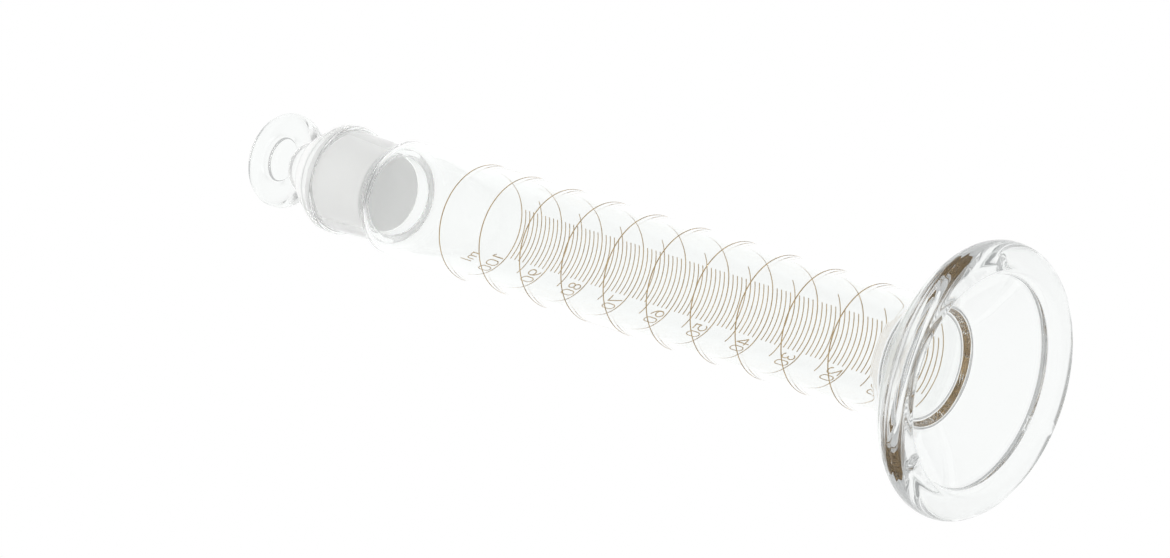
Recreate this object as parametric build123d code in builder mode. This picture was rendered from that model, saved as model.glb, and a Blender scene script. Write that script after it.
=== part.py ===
from build123d import *
import math
import os

# Stoppered measuring cylinder, 100 ml, in millimetres.
# Z is up, and the origin is the middle of the circle that the foot's three pips stand on.
# The scale faces -Y, and its numerals stand on the +X side of its short lines.

# ---- driving dimensions ----
tube_radius = 16.0
tube_wall = 1.5
tube_inside = tube_radius - tube_wall
capacity_ml = 100
shoulder_z = 203.0

pip_height = 0.8
pip_radial_radius = 2.0
pip_side_radius = 1.7
pip_round = 0.5
pip_root = 1.0
pip_circle = 29.5
pip_first_angle = 41.0
pip_count = 3

foot_radius = 34.5
rim_top_z = 8.2
rim_top_radius = 28.8
rim_round = 3.3
lip_round = 1.5
rim_inner_radius = 27.4
web_edge_radius = 26.4
web_edge_z = 3.6
web_crown_radius = 14.6
web_crown_z = 17.5
web_top_radius = 17.2
web_top_z = 17.4
seat_z = 20.0

floor_z = 22.3
floor_corner = 2.0

neck_base_radius = 13.5
neck_top_radius = 14.25
bead_radius = 15.3
bead_height = 4.6
bead_slope = 1.0
bead_round = 1.4
neck_height = 25.0
shoulder_height = 3.4
shoulder_inner_rise = 2.9

taper = 0.1
ground_small_radius = 11.0
ground_length = 20.0
ground_below_mouth = 1.5
mouth_radius = 12.4
mouth_round = 0.6
ground_clearance = 0.03

plug_length = 26.0
plug_bottom_round = 0.6
plug_shoulder_rise = 3.3
plug_shoulder_round = 1.4
stem_radius = 7.75
stem_dome_centre = 30.8
stopper_length = 57.0
head_radius = 13.5
head_half_thickness = 3.0
head_round = 2.6
head_dish_half_thickness = 2.3
head_dish_radius = 6.4
head_dish_slope = 1.0

stain_depth = 0.06
ring_width = 0.34
line_width = 0.3
first_line_ml = 5
short_half_angle = 28.0
long_half_angle = 44.0
numeral_angle = 42.0
numeral_height = 3.8
numeral_lift = 0.6
stroke_width = 0.36
character_grid_height = 6
character_gap = 1.5
numeral_reach = 4.0
unit_label_ml = 106

# ---- worked out from them ----
shoulder_top_z = shoulder_z + shoulder_height
mouth_z = shoulder_top_z + neck_height
ground_top_z = mouth_z - ground_below_mouth
ground_bottom_z = ground_top_z - ground_length
ground_large_radius = ground_small_radius + ground_length * taper / 2

# A rounded corner inside the floor takes up this much of the tube's volume, as Pappus's theorem
# gives it, and lifts the scale by so much.
corner_area = floor_corner**2 * (1 - math.pi / 4)
corner_centroid = floor_corner * (10 - 3 * math.pi) / (12 - 3 * math.pi)
corner_volume = 2 * math.pi * (tube_inside - corner_centroid) * corner_area
bore_area = math.pi * tube_inside**2
ml_height = 1000 / bore_area
scale_zero_z = floor_z + corner_volume / bore_area

stopper_z = ground_bottom_z
plug_bottom_radius = ground_small_radius - ground_clearance
plug_top_radius = plug_bottom_radius + plug_length * taper / 2
head_centre_z = stopper_z + stopper_length - head_radius


def level_z(millilitres):
    """The height of a scale mark."""
    return scale_zero_z + millilitres * ml_height


def reader_direction(angle):
    """The outward direction on the tube at an angle to the reader's right of the scale's middle."""
    return Vector(math.sin(math.radians(angle)), -math.cos(math.radians(angle)), 0)


def band_profile(centre_z, width, angle):
    """The section of a thin printed band on the tube's wall."""
    outward = reader_direction(angle)
    section_plane = Plane(origin=(0, 0, 0), x_dir=outward, z_dir=outward.cross(Vector(0, 0, 1)))
    with BuildSketch(section_plane) as section:
        with Locations((tube_radius + stain_depth / 2, centre_z)):
            Rectangle(stain_depth, width)
    return section.sketch


def line_stroke(start, end):
    """A straight pen stroke of a character, on its own grid."""
    return Edge.make_line((*start, 0), (*end, 0))


def arc_stroke(centre, radius, start_angle, sweep):
    """A round pen stroke of a character, on its own grid."""
    with BuildLine(mode=Mode.PRIVATE) as stroke:
        CenterArc(centre, radius, start_angle, sweep)
    return stroke.line.edges()[0]


# Each character's pen strokes on a grid 6 high, and its width there.
characters = {
    "0": (3.6, [
        arc_stroke((1.8, 4.2), 1.8, 0, 180),
        arc_stroke((1.8, 1.8), 1.8, 180, 180),
        line_stroke((0, 1.8), (0, 4.2)),
        line_stroke((3.6, 1.8), (3.6, 4.2)),
    ]),
    "1": (2.4, [
        line_stroke((1.6, 0), (1.6, 6)),
        line_stroke((1.6, 6), (0.4, 4.9)),
    ]),
    "2": (3.6, [
        arc_stroke((1.8, 4.2), 1.8, -35, 205),
        line_stroke((3.27, 3.17), (0, 0)),
        line_stroke((0, 0), (3.6, 0)),
    ]),
    "3": (3.4, [
        arc_stroke((1.7, 4.5), 1.5, -90, 240),
        arc_stroke((1.7, 1.5), 1.5, -150, 240),
    ]),
    "4": (3.8, [
        line_stroke((2.8, 0), (2.8, 6)),
        line_stroke((2.8, 6), (0, 1.8)),
        line_stroke((0, 1.8), (3.8, 1.8)),
    ]),
    "5": (3.6, [
        line_stroke((3.2, 6), (0.5, 6)),
        line_stroke((0.5, 6), (0.36, 3.24)),
        arc_stroke((1.7, 1.9), 1.9, -140, 275),
    ]),
    "6": (3.6, [
        arc_stroke((1.8, 1.8), 1.8, 0, 180),
        arc_stroke((1.8, 1.8), 1.8, 180, 180),
        arc_stroke((4.2, 1.8), 4.2, 108, 72),
    ]),
    "7": (3.6, [
        line_stroke((0, 6), (3.6, 6)),
        line_stroke((3.6, 6), (1.2, 0)),
    ]),
    "8": (3.4, [
        arc_stroke((1.7, 4.55), 1.45, 0, 180),
        arc_stroke((1.7, 4.55), 1.45, 180, 180),
        arc_stroke((1.7, 1.55), 1.55, 0, 180),
        arc_stroke((1.7, 1.55), 1.55, 180, 180),
    ]),
    "9": (3.6, [
        arc_stroke((1.8, 4.2), 1.8, 0, 180),
        arc_stroke((1.8, 4.2), 1.8, 180, 180),
        arc_stroke((-0.6, 4.2), 4.2, -72, 72),
    ]),
    "m": (4.4, [
        line_stroke((0, 0), (0, 3.7)),
        arc_stroke((1.1, 2.6), 1.1, 0, 180),
        line_stroke((2.2, 0), (2.2, 2.6)),
        arc_stroke((3.3, 2.6), 1.1, 0, 180),
        line_stroke((4.4, 0), (4.4, 2.6)),
    ]),
    "l": (0.4, [
        line_stroke((0.2, 0), (0.2, 6)),
    ]),
}


def grid_width(text):
    """The width of a row of characters on their own grid."""
    return sum(characters[name][0] for name in text) + character_gap * (len(text) - 1)


def corners_at(profile, radius):
    """The corners of a section that lie at this radius."""
    return profile.vertices().filter_by_position(Axis.X, radius - 0.1, radius + 0.1)


def upright_text(text, foot_z):
    """Characters that stand upright just outside the tube's wall, in the numerals' column."""
    outward = reader_direction(numeral_angle)
    reader_plane = Plane(
        origin=outward * (tube_radius + 1) + Vector(0, 0, foot_z),
        x_dir=Vector(0, 0, 1).cross(outward),
        z_dir=outward,
    )
    unit = numeral_height / character_grid_height
    with BuildSketch(reader_plane) as written:
        pen_x = -grid_width(text) / 2
        for name in text:
            width, strokes = characters[name]
            with Locations((pen_x * unit, 0)):
                for stroke in strokes:
                    SlotArc(stroke.scale(unit), stroke_width)
            pen_x += width + character_gap
    return written.sketch


# ---- foot: a pressed glass disc with a rolled rim and a raised seat for the tube ----
with BuildPart() as foot:
    with BuildSketch(Plane.XZ) as foot_profile:
        with BuildLine():
            Polyline(
                (0, seat_z),
                (0, web_crown_z),
                (web_crown_radius, web_crown_z),
                (web_edge_radius, web_edge_z),
                (rim_inner_radius, pip_height),
                (foot_radius, pip_height),
                (foot_radius, rim_top_z),
                (rim_top_radius, rim_top_z),
                (web_top_radius, web_top_z),
            )
            TangentArc((tube_radius, seat_z), (web_top_radius, web_top_z), tangent=(0, -1))
            Line((tube_radius, seat_z), (0, seat_z))
        make_face()
        fillet(corners_at(foot_profile, foot_radius), radius=rim_round)
        lip_corner = foot_profile.vertices().sort_by_distance((rim_inner_radius, pip_height))[0]
        fillet(lip_corner, radius=lip_round)
    revolve(axis=Axis.Z)
foot.part.label = "foot"

# ---- three pips under the rim, which carry the foot on an uneven bench ----
with BuildPart() as foot_pips:
    with BuildSketch():
        with PolarLocations(pip_circle, pip_count, start_angle=pip_first_angle):
            Ellipse(pip_radial_radius, pip_side_radius)
    extrude(amount=pip_height + pip_root)
    fillet(foot_pips.edges().group_by(Axis.Z)[0], radius=pip_round)
    add(foot.part, mode=Mode.SUBTRACT)
foot_pips.part.label = "foot_pips"

# ---- barrel: the measuring tube with its rounded closed bottom ----
with BuildPart() as barrel:
    with BuildSketch(Plane.XZ) as barrel_profile:
        with BuildLine():
            Polyline(
                (0, seat_z),
                (tube_radius, seat_z),
                (tube_radius, shoulder_z),
                (tube_inside, shoulder_z),
                (tube_inside, floor_z),
                (0, floor_z),
                close=True,
            )
        make_face()
        floor_vertex = barrel_profile.vertices().sort_by_distance((tube_inside, floor_z))[0]
        fillet(floor_vertex, radius=floor_corner)
    revolve(axis=Axis.Z)
barrel.part.label = "barrel"

# ---- shoulder: the turned-in ring between the barrel and the neck ----
with BuildPart() as shoulder:
    with BuildSketch(Plane.XZ):
        with BuildLine():
            TangentArc((tube_radius, shoulder_z), (neck_base_radius, shoulder_top_z), tangent=(0, 1))
            Polyline(
                (neck_base_radius, shoulder_top_z),
                (ground_small_radius, shoulder_top_z),
                (ground_small_radius, shoulder_z + shoulder_inner_rise),
            )
            TangentArc(
                (tube_inside, shoulder_z),
                (ground_small_radius, shoulder_z + shoulder_inner_rise),
                tangent=(0, 1),
            )
            Line((tube_inside, shoulder_z), (tube_radius, shoulder_z))
        make_face()
    revolve(axis=Axis.Z)
shoulder.part.label = "shoulder"

# ---- ground socket: the neck, ground inside to a 1 in 10 taper, with a beaded mouth ----
with BuildPart() as ground_socket:
    with BuildSketch(Plane.XZ) as socket_profile:
        with BuildLine():
            Polyline(
                (ground_small_radius, shoulder_top_z),
                (neck_base_radius, shoulder_top_z),
                (neck_top_radius, mouth_z - bead_height - bead_slope),
                (bead_radius, mouth_z - bead_height),
                (bead_radius, mouth_z),
                (mouth_radius, mouth_z),
                (ground_large_radius, ground_top_z),
                (ground_small_radius, ground_bottom_z),
                close=True,
            )
        make_face()
        fillet(corners_at(socket_profile, bead_radius), radius=bead_round)
        mouth_corner = socket_profile.vertices().sort_by_distance((mouth_radius, mouth_z))[0]
        fillet(mouth_corner, radius=mouth_round)
    revolve(axis=Axis.Z)
ground_socket.part.label = "ground_socket"

# ---- stopper plug: the ground taper, its rounded shoulder and the domed stem ----
with BuildPart() as stopper_plug:
    plug_top_z = stopper_z + plug_length
    stem_foot_z = plug_top_z + plug_shoulder_rise
    dome_z = stopper_z + stem_dome_centre
    with BuildSketch(Plane.XZ) as plug_profile:
        with BuildLine():
            Polyline(
                (0, dome_z + stem_radius),
                (0, stopper_z),
                (plug_bottom_radius, stopper_z),
                (plug_top_radius, plug_top_z),
                (stem_radius, stem_foot_z),
                (stem_radius, dome_z),
            )
            CenterArc((0, dome_z), stem_radius, 0, 90)
        make_face()
        bottom_corner = plug_profile.vertices().sort_by_distance((plug_bottom_radius, stopper_z))[0]
        fillet(bottom_corner, radius=plug_bottom_round)
        top_corner = plug_profile.vertices().sort_by_distance((plug_top_radius, plug_top_z))[0]
        fillet(top_corner, radius=plug_shoulder_round)
    revolve(axis=Axis.Z)
stopper_plug.part.label = "stopper_plug"

# ---- stopper head: the upright penny, thick at its rim and dished in the middle of both faces ----
with BuildPart() as stopper_head:
    head_plane = Plane(origin=(0, 0, head_centre_z), x_dir=(1, 0, 0), z_dir=(0, 0, 1))
    with BuildSketch(head_plane) as head_profile:
        with BuildLine():
            Polyline(
                (0, -head_dish_half_thickness),
                (head_dish_radius, -head_dish_half_thickness),
                (head_dish_radius + head_dish_slope, -head_half_thickness),
                (head_radius, -head_half_thickness),
                (head_radius, head_half_thickness),
                (head_dish_radius + head_dish_slope, head_half_thickness),
                (head_dish_radius, head_dish_half_thickness),
                (0, head_dish_half_thickness),
                close=True,
            )
        make_face()
        fillet(corners_at(head_profile, head_radius), radius=head_round)
    revolve(axis=Axis((0, 0, head_centre_z), (0, 1, 0)))
    add(stopper_plug.part, mode=Mode.SUBTRACT)
stopper_head.part.label = "stopper_head"

# ---- graduation rings: one round the tube at every 10 ml ----
with BuildPart() as graduation_rings:
    for millilitres in range(10, capacity_ml + 1, 10):
        revolve(band_profile(level_z(millilitres), ring_width, 0), axis=Axis.Z)
graduation_rings.part.label = "graduation_rings"

# ---- graduation lines: short ones at every millilitre and longer ones at every five ----
with BuildPart() as graduation_lines:
    for millilitres in range(first_line_ml, capacity_ml):
        if millilitres % 10 == 0:
            continue
        half_angle = long_half_angle if millilitres % 5 == 0 else short_half_angle
        line_profile = band_profile(level_z(millilitres), line_width, -half_angle)
        revolve(line_profile, axis=Axis.Z, revolution_arc=2 * half_angle)
graduation_lines.part.label = "graduation_lines"

# ---- scale numerals: the volumes just above their rings, and the unit above the last of them ----
with BuildPart() as scale_numerals:
    for millilitres in range(10, capacity_ml + 1, 10):
        numeral_z = level_z(millilitres) + ring_width / 2 + numeral_lift
        extrude(upright_text(str(millilitres), numeral_z), amount=-numeral_reach)
    extrude(upright_text("ml", level_z(unit_label_ml)), amount=-numeral_reach)
    with BuildSketch(Plane.XY.offset(level_z(0))):
        Circle(tube_radius + stain_depth)
        Circle(tube_radius, mode=Mode.SUBTRACT)
    extrude(amount=shoulder_z - level_z(0), mode=Mode.INTERSECT)
scale_numerals.part.label = "scale_numerals"

os.makedirs("parts", exist_ok=True)
pieces = (
    foot,
    foot_pips,
    barrel,
    shoulder,
    ground_socket,
    stopper_plug,
    stopper_head,
    graduation_rings,
    graduation_lines,
    scale_numerals,
)
for piece in pieces:
    export_step(piece.part, "parts/" + piece.part.label + ".step")
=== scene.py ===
import math

import bpy
import bmesh
import numpy as np
from mathutils import Matrix, Vector


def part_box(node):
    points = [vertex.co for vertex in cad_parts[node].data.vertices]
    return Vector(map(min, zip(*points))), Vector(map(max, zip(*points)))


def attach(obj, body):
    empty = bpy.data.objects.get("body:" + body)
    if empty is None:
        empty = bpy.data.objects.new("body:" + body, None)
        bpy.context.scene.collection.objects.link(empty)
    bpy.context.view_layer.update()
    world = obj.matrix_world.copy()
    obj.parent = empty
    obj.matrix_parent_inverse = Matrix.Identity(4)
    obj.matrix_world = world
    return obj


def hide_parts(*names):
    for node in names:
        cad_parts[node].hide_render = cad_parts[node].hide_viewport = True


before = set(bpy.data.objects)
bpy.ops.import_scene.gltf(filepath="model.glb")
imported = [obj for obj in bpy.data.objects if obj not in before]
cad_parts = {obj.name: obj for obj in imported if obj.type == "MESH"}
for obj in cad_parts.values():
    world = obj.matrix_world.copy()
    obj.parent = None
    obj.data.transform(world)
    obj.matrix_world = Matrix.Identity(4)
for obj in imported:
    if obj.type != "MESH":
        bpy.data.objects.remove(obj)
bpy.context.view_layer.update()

# A stoppered measuring cylinder in clear glass. Lengths below are in millimetres unless a name says
# otherwise; MM turns them into the scene's metres. Heights and outer sizes come from the frame.
MM = 0.001

# ---- sizes read from the frame ----
foot_low, foot_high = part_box("foot")
barrel_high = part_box("barrel")[1]
socket_low, socket_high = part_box("ground_socket")
plug_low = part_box("stopper_plug")[0]
head_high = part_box("stopper_head")[1]

foot_radius = foot_high.x / MM
rim_bottom_z = foot_low.z / MM
tube_radius = barrel_high.x / MM
shoulder_z = barrel_high.z / MM
shoulder_top_z = socket_low.z / MM
mouth_z = socket_high.z / MM
bead_radius = socket_high.x / MM
plug_z = plug_low.z / MM
head_radius = head_high.x / MM
head_half_thickness = head_high.y / MM
head_centre_z = head_high.z / MM - head_radius

# ---- sizes of the glass that the frame's boxes don't give ----
rim_top_z = 8.2
floor_z = 22.3
tube_inside = tube_radius - 1.5
ground_top_z = mouth_z - 1.5
ground_bottom_z = ground_top_z - 20.0
ground_small_radius = 11.0
ground_large_radius = 12.0
stem_radius = 7.75
stem_dome_z = plug_z + 30.8
plug_cone_length = 26.0
plug_bottom_radius = 10.97
taper_per_mm = 0.05
dish_radius = 6.4
dish_half_thickness = 2.3

pip_circle = 29.5
pip_angles = (41.0, 161.0, 281.0)
pip_half_length = 2.3
pip_half_width = 1.8

# ---- where one kind of glass gives way to another ----
pressed_top_z = 20.0
ground_length = 20.0
haze_length = 36.0

lathe_segments = 480
stopper_segments = 256
glass_ior = 1.474


# ---------------------------------------------------------------- mesh helpers

def rounded_outline(corners, spacing):
    """Points along an open outline of (radius, height, corner radius), with its corners rounded."""
    points = []

    def add_run(start, end):
        length = (end - start).length
        count = max(1, round(length / spacing))
        for step in range(count):
            points.append(start.lerp(end, step / count))

    here = Vector(corners[0][:2])
    for index in range(1, len(corners) - 1):
        corner = Vector(corners[index][:2])
        radius = corners[index][2]
        into = (Vector(corners[index - 1][:2]) - corner).normalized()
        out = (Vector(corners[index + 1][:2]) - corner).normalized()
        half = into.angle(out) / 2
        cut = radius / math.tan(half)
        start = corner + into * cut
        end = corner + out * cut
        centre = corner + (into + out).normalized() * (radius / math.sin(half))
        add_run(here, start)
        sweep = math.pi - 2 * half
        count = max(6, round(radius * sweep / spacing))
        turn = (start - centre).angle_signed(end - centre)
        for step in range(count):
            angle = -turn * step / count
            points.append(centre + Matrix.Rotation(angle, 2) @ (start - centre))
        here = end
    last = Vector(corners[-1][:2])
    add_run(here, last)
    points.append(last)
    return points


def lathe(name, outline, segments, axis="Z"):
    """A closed mesh of revolution from outline points in millimetres; radius 0 makes a pole."""
    vertices = []
    rings = []
    for radius, height in outline:
        if radius < 1e-6:
            rings.append([len(vertices)])
            vertices.append((0, 0, height * MM))
            continue
        first = len(vertices)
        rings.append(list(range(first, first + segments)))
        for step in range(segments):
            angle = 2 * math.pi * step / segments
            x, y = radius * math.cos(angle), radius * math.sin(angle)
            vertices.append((x * MM, y * MM, height * MM))
    faces = []
    for low, high in zip(rings, rings[1:]):
        for step in range(segments):
            after = (step + 1) % segments
            if len(low) == 1:
                faces.append((low[0], high[after], high[step]))
            elif len(high) == 1:
                faces.append((low[step], low[after], high[0]))
            else:
                faces.append((low[step], low[after], high[after], high[step]))
    mesh = bpy.data.meshes.new(name)
    mesh.from_pydata(vertices, [], faces)
    if axis == "Y":
        mesh.transform(Matrix.Rotation(math.radians(90), 4, "X"))
    return mesh


def finish_mesh(mesh):
    """Points every face outward and shades the mesh smooth."""
    work = bmesh.new()
    work.from_mesh(mesh)
    bmesh.ops.recalc_face_normals(work, faces=work.faces)
    work.to_mesh(mesh)
    work.free()
    mesh.polygons.foreach_set("use_smooth", [True] * len(mesh.polygons))
    mesh.update()


def new_object(name, mesh, *materials):
    """Links a mesh as a piece with its materials."""
    piece = bpy.data.objects.new(name, mesh)
    bpy.context.scene.collection.objects.link(piece)
    for material in materials:
        mesh.materials.append(material)
    return piece


# ---------------------------------------------------------------- materials

def plain_material(name, **values):
    """A material whose one shader is a Principled node with these values on its own sockets."""
    material = bpy.data.materials.new(name)
    material.use_nodes = True
    nodes = material.node_tree.nodes
    shader = nodes["Principled BSDF"]
    for socket, value in values.items():
        shader.inputs[socket.replace("_", " ")].default_value = value
    return material, nodes, material.node_tree.links, shader


def stretched_noise(nodes, links, scale, stretch, detail):
    """Noise over the object's own space, stretched by a factor for each axis."""
    place = nodes.new("ShaderNodeTexCoord")
    mapping = nodes.new("ShaderNodeMapping")
    mapping.inputs["Scale"].default_value = stretch
    noise = nodes.new("ShaderNodeTexNoise")
    noise.inputs["Scale"].default_value = scale
    noise.inputs["Detail"].default_value = detail
    links.new(place.outputs["Object"], mapping.inputs["Vector"])
    links.new(mapping.outputs["Vector"], noise.inputs["Vector"])
    return noise


def add_bump(nodes, links, shader, height, strength, distance):
    """A bump from a height output onto the shader's normal."""
    bump = nodes.new("ShaderNodeBump")
    bump.inputs["Strength"].default_value = strength
    bump.inputs["Distance"].default_value = distance
    links.new(height, bump.inputs["Height"])
    links.new(bump.outputs["Normal"], shader.inputs["Normal"])


def glass_material(name, tint, roughness, bump_scale, bump_stretch, bump_strength):
    """Clear glass with the faint waviness that drawing or pressing leaves in it."""
    material, nodes, links, shader = plain_material(
        name,
        Base_Color=tint,
        Roughness=roughness,
        IOR=glass_ior,
        Transmission_Weight=1.0,
    )
    waves = stretched_noise(nodes, links, bump_scale, bump_stretch, 1.0)
    add_bump(nodes, links, shader, waves.outputs["Fac"], bump_strength, 0.0004)
    return material


def ground_material(name, tint, transmission, roughness, painted_glow):
    """Finely ground glass. A weak painted glow, emission on glass that is no lamp, stands in for light
    scattered inside the milky layer.
    """
    material, nodes, links, shader = plain_material(
        name,
        Base_Color=tint,
        Roughness=roughness,
        IOR=glass_ior,
        Transmission_Weight=transmission,
        # painted glow: this emission stands in for light scattered inside the milky ground layer
        Emission_Color=(1, 1, 0.985, 1),
        Emission_Strength=painted_glow,
    )
    grain = stretched_noise(nodes, links, 900.0, (1, 1, 1.6), 2.0)
    cloud = nodes.new("ShaderNodeMapRange")
    cloud.inputs["To Min"].default_value = roughness - 0.08
    cloud.inputs["To Max"].default_value = roughness + 0.08
    links.new(grain.outputs["Fac"], cloud.inputs["Value"])
    links.new(cloud.outputs["Result"], shader.inputs["Roughness"])
    return material


def stain_material(name, tint):
    """Amber diffusion stain: thin, a little uneven along each mark."""
    material, nodes, links, shader = plain_material(
        name,
        Roughness=0.4,
        IOR=1.5,
        Transmission_Weight=0.8,
    )
    blotches = stretched_noise(nodes, links, 260.0, (1, 1, 1), 3.0)
    ramp = nodes.new("ShaderNodeValToRGB")
    ramp.color_ramp.elements[0].position = 0.3
    ramp.color_ramp.elements[0].color = (tint[0] * 0.75, tint[1] * 0.72, tint[2] * 0.65, 1)
    ramp.color_ramp.elements[1].position = 0.75
    ramp.color_ramp.elements[1].color = (*tint, 1)
    links.new(blotches.outputs["Fac"], ramp.inputs["Fac"])
    links.new(ramp.outputs["Color"], shader.inputs["Base Color"])
    return material


clear_glass = glass_material("clear_glass", (0.985, 0.995, 0.99, 1), 0.0, 75.0, (1, 1, 0.15), 0.35)
pressed_glass = glass_material("pressed_glass", (0.955, 0.97, 0.963, 1), 0.02, 90.0, (1, 1, 1), 0.2)
hazy_glass = glass_material("hazy_glass", (0.98, 0.982, 0.975, 1), 0.25, 120.0, (1, 1, 1), 0.3)
# the last number of each ground glass is the strength of its painted glow, emission standing in for
# light scattered in the milky layer
ground_plug_glass = ground_material("ground_plug_glass", (0.997, 0.997, 0.993, 1), 0.25, 0.6, 0.17)
ground_socket_glass = ground_material("ground_socket_glass", (0.998, 0.998, 0.996, 1), 0.6, 0.45, 0.13)
amber_stain = stain_material("amber_stain", (0.93, 0.70, 0.40))


# ---------------------------------------------------------------- the cylinder, one piece of glass

def raise_pips(mesh):
    """Pulls three smooth pips down out of the underside of the foot's rim."""
    places = np.empty(len(mesh.vertices) * 3)
    mesh.vertices.foreach_get("co", places)
    places = places.reshape(-1, 3) / MM
    low = places[:, 2] < rim_bottom_z + 2.5
    for angle in pip_angles:
        out = np.array((math.cos(math.radians(angle)), math.sin(math.radians(angle))))
        along = np.array((-out[1], out[0]))
        radial = places[:, :2] @ out - pip_circle
        across = places[:, :2] @ along
        reach = (radial / pip_half_length) ** 2 + (across / pip_half_width) ** 2
        dome = np.clip(1 - reach, 0, 1) ** 0.6
        places[:, 2] -= np.where(low, dome * rim_bottom_z, 0)
    places[:, 2] = np.maximum(places[:, 2], 0.0)
    mesh.vertices.foreach_set("co", (places * MM).ravel())


def make_cylinder_glass():
    """Foot, tube, shoulder and neck as one closed surface, with the inside of the neck ground."""
    outline = rounded_outline(
        [
            (0, 17.5, 0),
            (14.6, 17.5, 1.6),
            (26.4, 3.6, 2.0),
            (27.5, rim_bottom_z, 1.3),
            (foot_radius, rim_bottom_z, 3.4),
            (foot_radius, rim_top_z, 3.5),
            (28.8, rim_top_z, 4.0),
            (tube_radius, 18.4, 3.6),
            (tube_radius, shoulder_top_z, 2.4),
            (13.5, shoulder_top_z, 0.05),
            (14.25, mouth_z - 5.4, 1.5),
            (bead_radius, mouth_z - 4.6, 1.0),
            (bead_radius, mouth_z, 1.9),
            (ground_large_radius + 0.4, mouth_z, 0.7),
            (ground_large_radius, ground_top_z, 0.3),
            (ground_small_radius, ground_bottom_z, 0.3),
            (ground_small_radius, shoulder_z + 2.9, 0.5),
            (tube_inside, shoulder_z + 2.9, 2.8),
            (tube_inside, floor_z, 2.0),
            (0, floor_z, 0),
        ],
        0.7,
    )
    mesh = lathe("cylinder_glass", outline, lathe_segments)
    raise_pips(mesh)
    finish_mesh(mesh)
    piece = new_object("cylinder_glass", mesh, clear_glass, ground_socket_glass, pressed_glass)
    for face in mesh.polygons:
        height = face.center.z / MM
        radius = face.center.xy.length / MM
        if height < pressed_top_z:
            face.material_index = 2
        elif ground_bottom_z < height < ground_top_z and radius < ground_large_radius + 0.05:
            face.material_index = 1
    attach(piece, "cylinder")
    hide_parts("foot", "foot_pips", "barrel", "shoulder", "ground_socket")
    return piece


# ---------------------------------------------------------------- the stopper, one piece of glass

def plug_outline():
    """Outline of the cone, its rounded shoulder and the domed stem, from the bottom up."""
    cone_top_z = plug_z + plug_cone_length
    corners = [
        (0, plug_z, 0),
        (plug_bottom_radius, plug_z, 0.6),
        (plug_bottom_radius + plug_cone_length * taper_per_mm, cone_top_z, 2.2),
        (stem_radius + 0.4, cone_top_z + 3.3, 1.2),
        (stem_radius, stem_dome_z, 0.05),
    ]
    outline = rounded_outline(corners, 0.4)
    for step in range(1, 25):
        angle = math.radians(90 * step / 24)
        rise = stem_radius * math.sin(angle)
        outline.append(Vector((stem_radius * math.cos(angle), stem_dome_z + rise)))
    outline[-1].x = 0
    return outline


def head_outline():
    """Outline of the penny head across its thickness, with a shallow dish on both faces."""
    return rounded_outline(
        [
            (0, -dish_half_thickness, 0),
            (dish_radius, -dish_half_thickness, 0.5),
            (dish_radius + 0.9, -head_half_thickness, 2.0),
            (head_radius, -head_half_thickness, 2.7),
            (head_radius, head_half_thickness, 2.7),
            (dish_radius + 0.9, head_half_thickness, 2.0),
            (dish_radius, dish_half_thickness, 0.5),
            (0, dish_half_thickness, 0),
        ],
        0.4,
    )


def fused(name, parts, voxel_mm, rounds):
    """One skin over overlapping meshes, with the seam between them softened as in pressed glass."""
    work = bmesh.new()
    for mesh in parts:
        work.from_mesh(mesh)
    joined = bpy.data.meshes.new(name + "_joined")
    work.to_mesh(joined)
    work.free()
    blank = new_object(name + "_joined", joined)
    remesh = blank.modifiers.new("skin", "REMESH")
    remesh.mode = "VOXEL"
    remesh.voxel_size = voxel_mm * MM
    smooth = blank.modifiers.new("soften", "SMOOTH")
    smooth.factor = 0.5
    smooth.iterations = rounds
    graph = bpy.context.evaluated_depsgraph_get()
    mesh = bpy.data.meshes.new_from_object(blank.evaluated_get(graph))
    mesh.name = name
    bpy.data.objects.remove(blank)
    return mesh


def trim_cone(mesh):
    """Puts the ground cone's side back on its true taper, which smoothing had rounded."""
    places = np.empty(len(mesh.vertices) * 3)
    mesh.vertices.foreach_get("co", places)
    places = places.reshape(-1, 3) / MM
    height = places[:, 2] - plug_z
    radius = np.linalg.norm(places[:, :2], axis=1)
    taper = plug_bottom_radius + height * taper_per_mm
    side = (height > 0.9) & (height < plug_cone_length - 2.2) & (radius > taper - 0.6)
    places[side, :2] *= (taper[side] / radius[side])[:, None]
    places[:, 2] = np.maximum(places[:, 2], plug_z)
    mesh.vertices.foreach_set("co", (places * MM).ravel())


def make_stopper_glass():
    """Ground cone, shoulder, domed stem and upright penny head as one closed surface."""
    plug = lathe("plug", plug_outline(), stopper_segments)
    head = lathe("head", head_outline(), stopper_segments, axis="Y")
    head.transform(Matrix.Translation((0, 0, head_centre_z * MM)))
    finish_mesh(plug)
    finish_mesh(head)
    mesh = fused("stopper_glass", (plug, head), 0.22, 6)
    trim_cone(mesh)
    finish_mesh(mesh)
    piece = new_object("stopper_glass", mesh, pressed_glass, hazy_glass, ground_plug_glass)
    for face in mesh.polygons:
        height = face.center.z / MM - plug_z
        if height < ground_length:
            face.material_index = 2
        elif height < haze_length:
            face.material_index = 1
    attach(piece, "stopper")
    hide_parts("stopper_plug", "stopper_head")
    return piece


# ---------------------------------------------------------------- stage, light and camera

def make_floor():
    """A large pale floor, opaque from above and clear from below, where the main camera stands."""
    mesh = bpy.data.meshes.new("floor")
    reach = 6.0
    corners = [(-reach, -reach, 0), (reach, -reach, 0), (reach, reach, 0), (-reach, reach, 0)]
    mesh.from_pydata(corners, [], [(0, 1, 2, 3)])
    material, nodes, links, shader = plain_material(
        "floor_card",
        Base_Color=(0.86, 0.865, 0.87, 1),
        Roughness=0.7,
    )
    side = nodes.new("ShaderNodeNewGeometry")
    clear = nodes.new("ShaderNodeBsdfTransparent")
    mix = nodes.new("ShaderNodeMixShader")
    links.new(side.outputs["Backfacing"], mix.inputs["Fac"])
    links.new(shader.outputs["BSDF"], mix.inputs[1])
    links.new(clear.outputs["BSDF"], mix.inputs[2])
    links.new(mix.outputs["Shader"], nodes["Material Output"].inputs["Surface"])
    floor = new_object("floor", mesh, material)
    return floor


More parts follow.
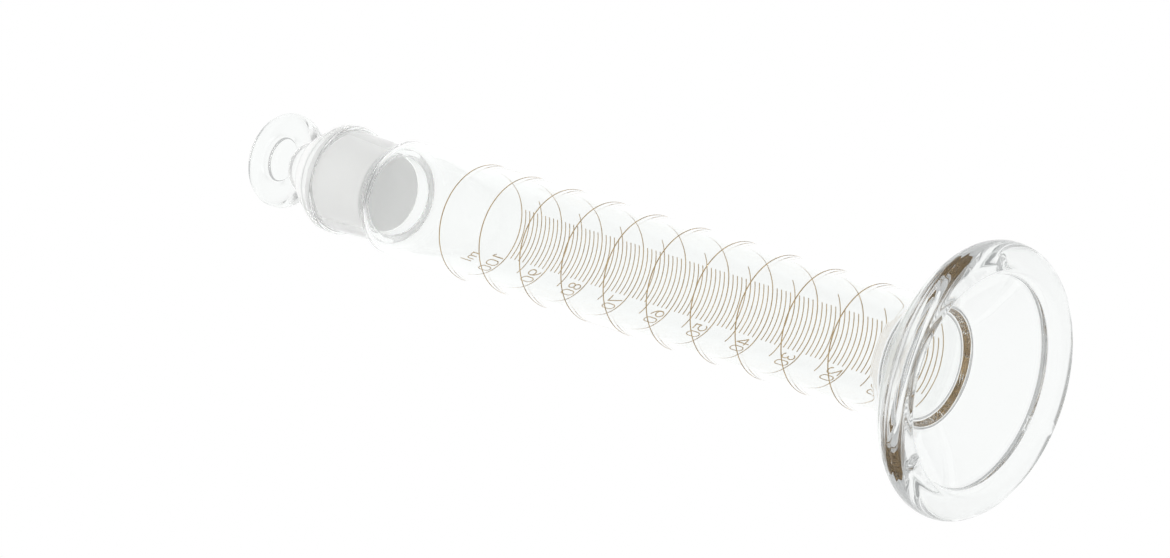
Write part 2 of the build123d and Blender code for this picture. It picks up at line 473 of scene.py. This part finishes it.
def math_node(nodes, links, operation, first, second=None):
    """A Math node's output; the second value is an output socket, a number or nothing."""
    node = nodes.new("ShaderNodeMath")
    node.operation = operation
    links.new(first, node.inputs[0])
    if isinstance(second, float):
        node.inputs[1].default_value = second
    elif second is not None:
        links.new(second, node.inputs[1])
    return node.outputs["Value"]


def add_horizon_glow(nodes, links, direction, shade):
    """A bright strip at the floor's far edge, so that glass seen from the side stays clear."""
    parts = nodes.new("ShaderNodeSeparateXYZ")
    links.new(direction, parts.inputs["Vector"])
    offset = math_node(nodes, links, "SUBTRACT", parts.outputs["Z"], 0.05)
    height = math_node(nodes, links, "ABSOLUTE", offset)
    glow = nodes.new("ShaderNodeMapRange")
    glow.interpolation_type = "SMOOTHSTEP"
    glow.inputs["From Min"].default_value = 0.12
    glow.inputs["From Max"].default_value = 0.06
    glow.inputs["To Max"].default_value = 0.95
    links.new(height, glow.inputs["Value"])
    return math_node(nodes, links, "MAXIMUM", shade, glow.outputs["Result"])


def make_world():
    """A white studio with grey sides and soft flags, which draw the edges of the glass."""
    world = bpy.data.worlds.new("studio")
    bpy.context.scene.world = world
    world.use_nodes = True
    nodes = world.node_tree.nodes
    links = world.node_tree.links
    background = nodes["Background"]
    place = nodes.new("ShaderNodeTexCoord")
    # direction, angles in degrees where it starts and is full, brightness inside and outside
    patches = [
        ((0.0, -0.75, 0.66), 82, 42, 1.04, 0.56),
        ((0.0, 0.10, 1.0), 26, 14, 0.50, 1.0),
    ]
    for azimuth in (15, 52, 90, 128, 165):
        turn = math.radians(azimuth)
        patches.append(((math.cos(turn), math.sin(turn), 0.3), 25, 12, 0.55, 1.0))
    shade = None
    for direction, outer, inner, value, outside in patches:
        dot = nodes.new("ShaderNodeVectorMath")
        dot.operation = "DOT_PRODUCT"
        dot.inputs[1].default_value = Vector(direction).normalized()
        links.new(place.outputs["Generated"], dot.inputs[0])
        soft = nodes.new("ShaderNodeMapRange")
        soft.interpolation_type = "SMOOTHSTEP"
        soft.inputs["From Min"].default_value = math.cos(math.radians(outer))
        soft.inputs["From Max"].default_value = math.cos(math.radians(inner))
        soft.inputs["To Min"].default_value = outside
        soft.inputs["To Max"].default_value = value
        links.new(dot.outputs["Value"], soft.inputs["Value"])
        if shade is None:
            shade = soft.outputs["Result"]
        else:
            shade = math_node(nodes, links, "MULTIPLY", shade, soft.outputs["Result"])
    shade = add_horizon_glow(nodes, links, place.outputs["Generated"], shade)
    # the backdrop itself is plain white; only the glass sees the shading above
    path = nodes.new("ShaderNodeLightPath")
    seen = nodes.new("ShaderNodeMix")
    seen.data_type = "FLOAT"
    seen.inputs["B"].default_value = 1.0
    links.new(path.outputs["Is Camera Ray"], seen.inputs["Factor"])
    links.new(shade, seen.inputs["A"])
    links.new(seen.outputs["Result"], background.inputs["Strength"])
    background.inputs["Color"].default_value = (1, 1, 1, 1)
    return world


def make_camera():
    """A long lens below the foot, rolled so that the tube runs to the upper left."""
    off_axis = math.radians(48.5)
    azimuth = math.radians(91.0)
    tube_angle = math.radians(162.0)
    distance = 1.0
    view_width = 0.305
    up_axis = Vector((0, 0, 1))
    side = Vector((math.cos(azimuth), math.sin(azimuth), 0))
    toward = side * math.sin(off_axis) - up_axis * math.cos(off_axis)
    along = (up_axis + toward * math.cos(off_axis)).normalized()
    across = toward.cross(along)
    right = along * math.cos(tube_angle) - across * math.sin(tube_angle)
    up = along * math.sin(tube_angle) + across * math.cos(tube_angle)
    target = Vector((0, 0, 0.1355)) + up * -0.006
    camera_data = bpy.data.cameras.new("camera")
    camera_data.sensor_width = 36.0
    camera_data.lens = 36.0 * distance / view_width
    camera_data.clip_start = 0.01
    camera_data.clip_end = 50.0
    camera = bpy.data.objects.new("camera", camera_data)
    bpy.context.scene.collection.objects.link(camera)
    turn = Matrix((right, up, toward)).transposed()
    camera.matrix_world = Matrix.Translation(target + toward * distance) @ turn.to_4x4()
    bpy.context.scene.camera = camera
    return camera


def set_scene():
    """Light is piped far along the tube's wall, so the paths need many bounces."""
    scene = bpy.context.scene
    scene.view_settings.view_transform = "Standard"
    scene.cycles.max_bounces = 256
    scene.cycles.diffuse_bounces = 48
    scene.cycles.transmission_bounces = 128
    scene.cycles.glossy_bounces = 192
    scene.cycles.transparent_max_bounces = 16
    scene.cycles.use_denoising = True


make_camera()
make_cylinder_glass()
make_stopper_glass()
for node in ("graduation_rings", "graduation_lines", "scale_numerals"):
    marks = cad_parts[node]
    for slot in marks.material_slots:
        slot.material = amber_stain
make_floor()
make_world()
set_scene()
